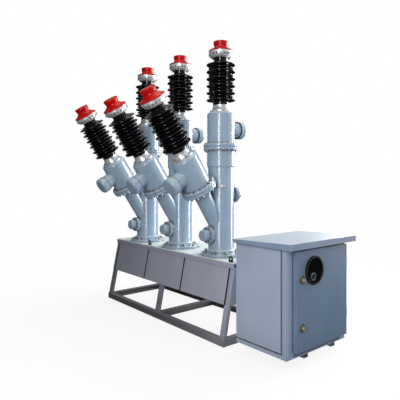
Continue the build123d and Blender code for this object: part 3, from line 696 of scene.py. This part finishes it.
ring_heads = []
ring_nuts = []
fitting_bolts = []
rim_screws = []
for place in arm_places.values():
    ring_heads += bolt_circle(place, RING_THICKNESS, ring_circle, RING_BOLTS, RING_BOLT_WIDTH)
    ring_nuts += bolt_circle(place, -RING_THICKNESS, ring_circle, RING_BOLTS, RING_BOLT_WIDTH, False)
    fitting_bolts += bolt_circle(
        place, housing_top + LOW_RIM, fitting_circle, FITTING_BOLTS, FITTING_BOLT_WIDTH
    )
    rim_screws += bolt_circle(place, rim_under, rim_circle, RIM_SCREWS, RIM_SCREW_WIDTH, False)
base_nuts = []
port_heads = []
port_nuts = []
for column, front, rear in zip(column_places.values(), front_ports, rear_ports):
    base_nuts += bolt_circle(column, BASE_FLANGE_THICKNESS, base_circle, BASE_BOLTS, BASE_BOLT_WIDTH)
    for port, reach, circle in ((front, FRONT_REACH, front_circle), (rear, REAR_REACH, rear_circle)):
        face = reach + PORT_FLANGE_THICKNESS
        back = reach - PORT_FLANGE_THICKNESS
        port_heads += bolt_circle(port, face, circle, PORT_BOLTS, PORT_BOLT_WIDTH)
        port_nuts += bolt_circle(port, back, circle, PORT_BOLTS, PORT_BOLT_WIDTH, False)
bolts("ring_bolt_heads", ring_heads, HEAD)
bolts("ring_nuts", ring_nuts, NUT)
bolts("fitting_bolts", fitting_bolts, HEAD)
bolts("fitting_rim_screws", rim_screws, CLAMP, material=dark_zinc)
bolts("base_nuts", base_nuts, NUT)
bolts("port_bolt_heads", port_heads, HEAD)
bolts("port_nuts", port_nuts, NUT)


# Panels of the stand, which lie over the inner edges of the corner legs, with their screws and strips; the
# strips' black is also painted shade of the gaps in the joints
PANEL_COUNT = 3
PANEL_THICKNESS = 0.006
PANEL_JOINT = 0.012
PANEL_ROUND = 0.0015
LEG_JOINT = 0.008
PANEL_SCREW_INSET = 0.030
PANEL_SCREW_SHARES = (0.1, 0.9)
PANEL_SCREW_WIDTH = 0.016
STRIP_PROUD = 0.0015
STRIP_LIP = 0.004


def panel_line(node, side):
    """Outer face of one long side's panels as foot and head points of Y and Z, and each panel's two ends."""
    low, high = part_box(node)
    foot_y = low[1] if side < 0 else high[1]
    head_y = foot_y - side * (high[1] - low[1] - PANEL_THICKNESS)
    pitch = (high[0] - low[0] + PANEL_JOINT) / PANEL_COUNT
    starts = [low[0] + pitch * i for i in range(PANEL_COUNT)]
    ends = [[start, start + pitch - PANEL_JOINT] for start in starts]
    ends[0][0] += LEG_JOINT
    ends[-1][1] -= LEG_JOINT
    return (foot_y, low[2]), (head_y, high[2]), ends


def sheet_panels(name, node, side):
    """Sloped sheets with softly bent edges, in place of the panels of one long side."""
    foot, head, ends = panel_line(node, side)
    inset = side * PANEL_THICKNESS
    section = [foot, head, (head[0] - inset, head[1]), (foot[0] - inset, foot[1])]
    bm = bmesh.new()
    for panel in ends:
        draw_prism(bm, *[[(x, *point) for point in section] for x in panel])
    bmesh.ops.recalc_face_normals(bm, faces=bm.faces)
    round_edges(bm, PANEL_ROUND)
    mesh = drawn(bm, name)
    mesh.materials.append(stand_enamel)
    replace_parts(new_piece(name, mesh, "structure"), node)


def panel_screws(node, side):
    """Screws on the sloped panels of one long side, on the line from the panels' foot to their head."""
    foot, head, ends = panel_line(node, side)
    slope = Vector((0, head[0] - foot[0], head[1] - foot[1]))
    outward = Vector((0, side * slope.z, -side * slope.y)).normalized()
    screws = []
    for x_low, x_high in ends:
        for x in (x_low + PANEL_SCREW_INSET, x_high - PANEL_SCREW_INSET):
            for share in PANEL_SCREW_SHARES:
                screws.append((Vector((x, *foot)) + slope * share, outward, PANEL_SCREW_WIDTH))
    return screws


def panel_strip(node, side):
    """Strips in the joints of one long side, with thin lips that lie on the edges beside them; in black
    rubber they are also painted shade of the shadowed gaps.
    """
    foot, head, ends = panel_line(node, side)
    stops = [ends[0][0] - LEG_JOINT] + [x for panel in ends for x in panel] + [ends[-1][1] + LEG_JOINT]
    face = STRIP_PROUD * side
    back = (PANEL_THICKNESS + STRIP_PROUD) * -side
    bm = bmesh.new()
    for x_low, x_high in zip(stops[0::2], stops[1::2]):
        section = (
            (x_low - STRIP_LIP, 0), (x_low, face), (x_high, face), (x_high + STRIP_LIP, 0),
            (x_high, 0), (x_high, back), (x_low, back), (x_low, 0),
        )
        draw_prism(bm, *[[(x, y + inset, z) for x, inset in section] for y, z in (foot, head)])
    bmesh.ops.recalc_face_normals(bm, faces=bm.faces)
    return drawn(bm, f"{node}_strips")


sheet_panels("front_sheets", "front_panels", -1)
sheet_panels("back_sheets", "back_panels", 1)
bolts(
    "panel_screws", panel_screws("front_panels", -1) + panel_screws("back_panels", 1), SCREW,
    material=stand_enamel,
)
# Black rubber strips that are painted shade of the gaps between the panels and at the legs
joint_shade_strips = [panel_strip("front_panels", -1), panel_strip("back_panels", 1)]
rubber_piece("panel_strips_and_joint_shade", [(strip, Matrix()) for strip in joint_shade_strips], "structure")

# Rubber profiles behind the edges of the side cover and of the door, and under the locks; those of the side
# cover are also painted shade of its gaps
SEAL_INSET = 0.004
SEAL_WIDTH = 0.014
SEAL_PROUD = 0.004
SEAL_ROUND_SHARE = 1 / 6
LOCK_GASKET_PROUD = 0.007
LOCK_GASKET_THICKNESS = 0.0025


def bar(low, high):
    """Bar between two corners, with round edges."""
    bm = bmesh.new()
    size = Vector(high) - Vector(low)
    centre = (Vector(high) + Vector(low)) / 2
    bmesh.ops.create_cube(bm, size=1.0, matrix=Matrix.Translation(centre) @ Matrix.Diagonal((*size, 1.0)))
    round_edges(bm, min(size) * SEAL_ROUND_SHARE)
    return drawn(bm, "bar")


cover_low, cover_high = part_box("cabinet_side_cover")
roof_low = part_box("cabinet_roof")[0]
cover_gap = roof_low[2] - cover_high[2]
seal_end = cover_high[0] + cover_gap
seal_face = cover_low[1] + SEAL_INSET
# Black bars that fill the gaps under the roof and beside the post: seals and painted shade of those gaps
cover_seal_and_shade_bars = [
    bar((cover_low[0], seal_face, cover_high[2]), (seal_end, cover_high[1], roof_low[2])),
    bar((cover_high[0], seal_face, cover_low[2]), (seal_end, cover_high[1], cover_high[2])),
]
rubber_piece("cover_seals_and_gap_shade", [(seal, Matrix()) for seal in cover_seal_and_shade_bars], "structure")

door_low, door_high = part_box("door")
seal_back, seal_front = door_low[0] - SEAL_PROUD, door_low[0]
left, right = door_low[1], door_high[1]
foot, head = door_low[2], door_high[2]
door_seals = [
    bar((seal_back, left, head - SEAL_WIDTH), (seal_front, right, head)),
    bar((seal_back, left, foot), (seal_front, right, foot + SEAL_WIDTH)),
    bar((seal_back, left, foot), (seal_front, left + SEAL_WIDTH, head)),
    bar((seal_back, right - SEAL_WIDTH, foot), (seal_front, right, head)),
]
rubber_piece("door_seals", [(seal, Matrix()) for seal in door_seals], "door")

lock_low, lock_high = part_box("door_locks")
plate_radius = (lock_high[1] - lock_low[1]) / 2
gasket_inner = plate_radius - LOCK_GASKET_PROUD
gasket_outer = plate_radius + LOCK_GASKET_PROUD
lock_gasket = lathe("lock_gasket", [
    (gasket_inner, 0), (gasket_outer, 0), (gasket_outer, LOCK_GASKET_THICKNESS / 2),
    (gasket_outer - LOCK_GASKET_THICKNESS / 2, LOCK_GASKET_THICKNESS), (gasket_inner, LOCK_GASKET_THICKNESS),
], SMALL_TURN, closed=True)
lock_places = [
    shift(door_high[0], middle("door_locks", 1), z) @ turned(math.pi / 2, "Y")
    for z in (lock_low[2] + plate_radius, lock_high[2] - plate_radius)
]
rubber_piece("lock_gaskets", [(lock_gasket, place) for place in lock_places], "door")

# Sheds
ROOT_SHARE = 0.9
TOP_HOLLOW = 1.3
UNDER_HOLLOW = 1.4


def shed_profile():
    """Section of one large shed: a hollow top, a round edge and a nearly flat underside."""
    edge_low = shed_radius - SHED_EDGE
    root = CORE_RADIUS * SMALL_SHED_SHARE * ROOT_SHARE
    steps = [i / ARC_STEPS for i in range(ARC_STEPS + 1)]
    span = edge_low - CORE_RADIUS
    rise = SHED_RISE - SHED_EDGE
    lift = SHED_HOLLOW + SHED_EDGE
    top = [(CORE_RADIUS + span * s, SHED_EDGE + rise * (1 - s) ** TOP_HOLLOW) for s in steps]
    arc = [math.pi / 2 - math.pi * s for s in steps[1:-1]]
    edge = [(edge_low + SHED_EDGE * math.cos(t), SHED_EDGE * math.sin(t)) for t in arc]
    under = [(edge_low - span * s, lift * s ** UNDER_HOLLOW - SHED_EDGE) for s in steps]
    return [(root, SHED_RISE)] + top + edge + under + [(root, SHED_HOLLOW)]


shed = lathe("shed", shed_profile(), ROUND_TURN, closed=True)
shed_mesh = grown("shed_stack", shed, shed_stack_tree(), {
    "Rows": SHED_ROWS, "Spacing": SHED_SPACING, "Small Share": SMALL_SHED_SHARE, "Material": shed_porcelain,
})
first_shed = bushing_low + FIRST_SHED
core_mesh = lathe("core", [
    (0, bushing_low), (CORE_FOOT_RADIUS, bushing_low), (CORE_FOOT_RADIUS, first_shed + SHED_HOLLOW),
    (CORE_RADIUS, first_shed + SHED_RISE), (CORE_RADIUS, bushing_high), (0, bushing_high),
], ROUND_TURN)
for (pole, arm), place in arm_places.items():
    name = f"pole_{pole}_{arm}_sheds"
    stack_place = place @ shift(0, 0, first_shed)
    mesh = joined(name, [(shed_mesh, stack_place), (core_mesh, place)], shed_porcelain)
    sheds = new_piece(name, mesh, "structure")
    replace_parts(sheds, f"pole_{pole}_{arm}_bushing")

# Red caps: a rolled lip, a bell, a wide waist and a knob with round edges
CAP_LIP_RADIUS = 0.135
CAP_LIP = 0.016
CAP_BELL = 0.044
CAP_FLARE = 1.8
CAP_WAIST_RADIUS = 0.072
CAP_WAIST = 0.072
CAP_KNOB_RADIUS = 0.082
CAP_KNOB_ROUND = 0.010
CAP_HEIGHT = 0.114


def cap_profile(start):
    """Section of a cap from the face it stands on."""
    steps = [i / ARC_STEPS for i in range(ARC_STEPS + 1)]
    lip = CAP_LIP / 2
    lip_middle = CAP_LIP_RADIUS - lip
    arc = [math.pi * s - math.pi / 2 for s in steps]
    points = [(0, start)] + [(lip_middle + lip * math.cos(t), start + lip + lip * math.sin(t)) for t in arc]
    flare = lip_middle - CAP_WAIST_RADIUS
    points += [
        (CAP_WAIST_RADIUS + flare * (1 - s) ** CAP_FLARE, start + CAP_LIP + CAP_BELL * s) for s in steps[1:]
    ]
    points.append((CAP_KNOB_RADIUS - CAP_KNOB_ROUND / 2, start + CAP_WAIST))
    knob_middle = CAP_KNOB_RADIUS - CAP_KNOB_ROUND
    round_start = start + CAP_HEIGHT - CAP_KNOB_ROUND
    quarter = [math.pi / 2 * s for s in steps]
    points += [
        (knob_middle + CAP_KNOB_ROUND * math.cos(t), round_start + CAP_KNOB_ROUND * math.sin(t))
        for t in quarter
    ]
    return points + [(0, start + CAP_HEIGHT)]


cap_mesh = lathe("cap", cap_profile(bushing_high + TOP_FITTING_LENGTH), ROUND_TURN)
caps = joined("silicone_caps", [(cap_mesh, place) for place in arm_places.values()], red_silicone)
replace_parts(new_piece("silicone_caps", caps, "structure"), "red_caps")

# Gaskets and welds
GASKET_HALF = 0.0025
GASKET_PROUD = 0.0015
GASKET_WIDTH = 0.012
JOINT_STEPS = 72


def gasket(radius):
    """Flat ring that stands a little proud of a joint."""
    inner = radius - GASKET_WIDTH
    outer = radius + GASKET_PROUD
    profile = [(inner, -GASKET_HALF), (outer - GASKET_HALF, -GASKET_HALF), (outer, 0),
               (outer - GASKET_HALF, GASKET_HALF), (inner, GASKET_HALF)]
    return lathe("gasket", profile, WIDE_TURN, closed=True)


def pipe_joint(place, pipe_radius, wall_radius, tilt):
    """Points where a pipe that leaves a round wall at a tilt meets it, about the pipe's place."""
    points = []
    for turn in turns(JOINT_STEPS):
        across = pipe_radius * math.cos(turn)
        rise = pipe_radius * math.sin(turn)
        depth = math.sqrt(wall_radius ** 2 - across ** 2)
        along = (depth - rise * math.cos(tilt)) / math.sin(tilt)
        points.append(place @ Vector((across, -rise, along)))
    return points


def ring_points(place, radius, height):
    return [place @ on_circle(radius, turn, height) for turn in turns(WIDE_TURN)]


gaskets = []
for radius, reach, places in (
    (ring_radius - RING_EDGE * 3 / 4, 0, arm_places.values()),
    (SIDE_COVER_RADIUS, SIDE_REACH, side_ports),
    (FRONT_FLANGE_RADIUS, FRONT_REACH, front_ports),
    (REAR_FLANGE_RADIUS, REAR_REACH, rear_ports),
):
    ring = gasket(radius)
    gaskets += [(ring, place @ shift(0, 0, reach)) for place in places]
rubber_piece("flange_gaskets", gaskets, "structure")

loops = [pipe_joint(port, SIDE_NECK_RADIUS, HOUSING_RADIUS, math.pi / 2) for port in side_ports]
for pole in POLES:
    loops.append(ring_points(column_places[pole], COLLAR_RADIUS, BASE_FLANGE_THICKNESS))
    loops.append(pipe_joint(branch_places[pole], BRANCH_RADIUS, COLUMN_RADIUS, BRANCH_TILT))
    loops.append(ring_points(arm_places[pole, "inclined"], BRANCH_RADIUS, -RING_THICKNESS))
corners = []
edges = []
for loop in loops:
    start = len(corners)
    corners += loop
    edges += [(start + i, start + (i + 1) % len(loop)) for i in range(len(loop))]
loop_mesh = bpy.data.meshes.new("weld_loops")
loop_mesh.from_pydata(corners, edges, [])
welds = grown("tank_welds", loop_mesh, weld_bead_tree(), {
    "Bead Radius": BEAD_RADIUS, "Ripple": BEAD_STEP, "Material": tank_enamel,
})
new_piece("tank_welds", welds, "structure")

# Bright cover plates on the column's bosses
PLATE_HALF_LENGTH = 0.043
PLATE_HALF_HEIGHT = 0.0145
PLATE_THICKNESS = 0.003


def cover_plate():
    """Thin plate with round ends, in the boss's plane with its face towards +X."""
    reach = PLATE_HALF_LENGTH - PLATE_HALF_HEIGHT
    outline = []
    for centre, start in ((reach, -math.pi / 2), (-reach, math.pi / 2)):
        for i in range(ARC_STEPS + 1):
            y, z, _ = on_circle(PLATE_HALF_HEIGHT, start + math.pi * i / ARC_STEPS, 0)
            outline.append((centre + y, z))
    bm = bmesh.new()
    draw_prism(bm, *[[(x, y, z) for y, z in outline] for x in (0, PLATE_THICKNESS)])
    bmesh.ops.recalc_face_normals(bm, faces=bm.faces)
    return drawn(bm, "cover_plate")


plate = cover_plate()
boss_place = shift(0, 0, BOSS_HEIGHT) @ turned(BOSS_TURN, "Z") @ shift(BOSS_FACE, 0, 0)
placed_plates = [(plate, column @ boss_place) for column in column_places.values()]
plates = joined("boss_plates", placed_plates, cast_aluminium)
new_piece("boss_plates", plates, "structure")

# Studio: floor, light and camera
FLOOR_HALF = 40.0
FLOOR_WHITE_SHARE = 0.86
FLOOR_FADE = (1.5, 4.5)
LIT_SIDE = Vector((0.45, 0.8, 0.4)).normalized()
LIT_TURN = (-0.5, 0.9)
LIT_STRENGTH = (0.08, 0.85)
MIRRORED_SHARE = 0.55
POLES_MIDDLE = (0.4, -0.1, 1.7)
# Each light's place, what it points at, width and height in metres, and watts
LIGHTS = {
    "front_strip": ((3.96, -5.16, 2.4), (0.6, -0.1, 1.7), 0.7, 5.0, 230),
    "right_strip": ((2.6, 5.3, 2.4), POLES_MIDDLE, 1.2, 5.0, 260),
    "back_softbox": ((0.6, 6.4, 3.2), POLES_MIDDLE, 6.0, 4.0, 400),
    "top_softbox": ((0.4, -0.7, 6.5), (0.4, -0.1, 1.0), 4.0, 4.0, 90),
}


def floor():
    """Pale floor; what it sends up into the object is that of open ground."""
    mesh = bpy.data.meshes.new("floor")
    outline = [(x * FLOOR_HALF, y * FLOOR_HALF, 0) for x, y in ((-1, -1), (1, -1), (1, 1), (-1, 1))]
    mesh.from_pydata(outline, [], [(0, 1, 2, 3)])
    plane = bpy.data.objects.new("floor", mesh)
    bpy.context.collection.objects.link(plane)
    material, tree, place = new_material("pale_floor")
    ray = add(tree, "ShaderNodeLightPath").outputs
    seen = ray["Is Camera Ray"]
    ground = blend(tree, ray["Is Glossy Ray"], "808080", "2a2a2a")
    matt = add(tree, "ShaderNodeBsdfDiffuse", {"Color": blend(tree, seen, ground, "f4f4f4")}).outputs["BSDF"]
    white = add(tree, "ShaderNodeEmission", {"Color": linear("ffffff"), "Strength": 1.0}).outputs["Emission"]
    away = add(tree, "ShaderNodeVectorMath", {0: place}, operation="LENGTH").outputs["Value"]
    share = maths(tree, "MULTIPLY", seen, spread(tree, away, FLOOR_FADE, (FLOOR_WHITE_SHARE, 1.0)))
    mix = add(tree, "ShaderNodeMixShader", {0: share, 1: matt, 2: white}).outputs["Shader"]
    add(tree, "ShaderNodeOutputMaterial", {"Surface": mix})
    mesh.materials.append(material)


def area_light(name, place, target, width, height, watts):
    light = bpy.data.lights.new(name, "AREA")
    light.shape = "RECTANGLE"
    light.size = width
    light.size_y = height
    light.energy = watts
    lamp = bpy.data.objects.new(name, light)
    lamp.location = place
    lamp.rotation_euler = (Vector(target) - Vector(place)).to_track_quat("-Z", "Y").to_euler()
    bpy.context.collection.objects.link(lamp)


def studio_world():
    """White behind the object for the camera; for light, a bright side and a dim side."""
    world = bpy.data.worlds.new("studio")
    bpy.context.scene.world = world
    world.use_nodes = True
    tree = world.node_tree
    tree.nodes.clear()
    direction = add(tree, "ShaderNodeTexCoord").outputs["Generated"]
    side = add(
        tree, "ShaderNodeVectorMath", {0: direction, 1: tuple(LIT_SIDE)}, operation="DOT_PRODUCT"
    ).outputs["Value"]
    ray = add(tree, "ShaderNodeLightPath").outputs
    mirrored = spread(tree, ray["Is Glossy Ray"], WHOLE, (1.0, MIRRORED_SHARE))
    soft = maths(tree, "MULTIPLY", spread(tree, side, LIT_TURN, LIT_STRENGTH), mirrored)
    strength = maths(tree, "MAXIMUM", soft, ray["Is Camera Ray"])
    back = add(tree, "ShaderNodeBackground", {"Color": linear("ffffff"), "Strength": strength})
    add(tree, "ShaderNodeOutputWorld", {"Surface": back.outputs["Background"]})


def camera():
    data = bpy.data.cameras.new("camera")
    data.sensor_width = SENSOR_MM
    data.lens = SENSOR_MM * FOCAL_PIXELS / IMAGE_SIDE
    data.shift_y = (HORIZON_ROW - IMAGE_SIDE / 2) / IMAGE_SIDE
    view = bpy.data.objects.new("camera", data)
    view.location = CAMERA_PLACE
    view.rotation_euler = Euler((math.pi / 2, 0, math.radians(CAMERA_TURN_DEG)))
    bpy.context.collection.objects.link(view)
    bpy.context.scene.camera = view


floor()
studio_world()
for name, values in LIGHTS.items():
    area_light(name, *values)
camera()
bpy.context.scene.view_settings.view_transform = "Standard"
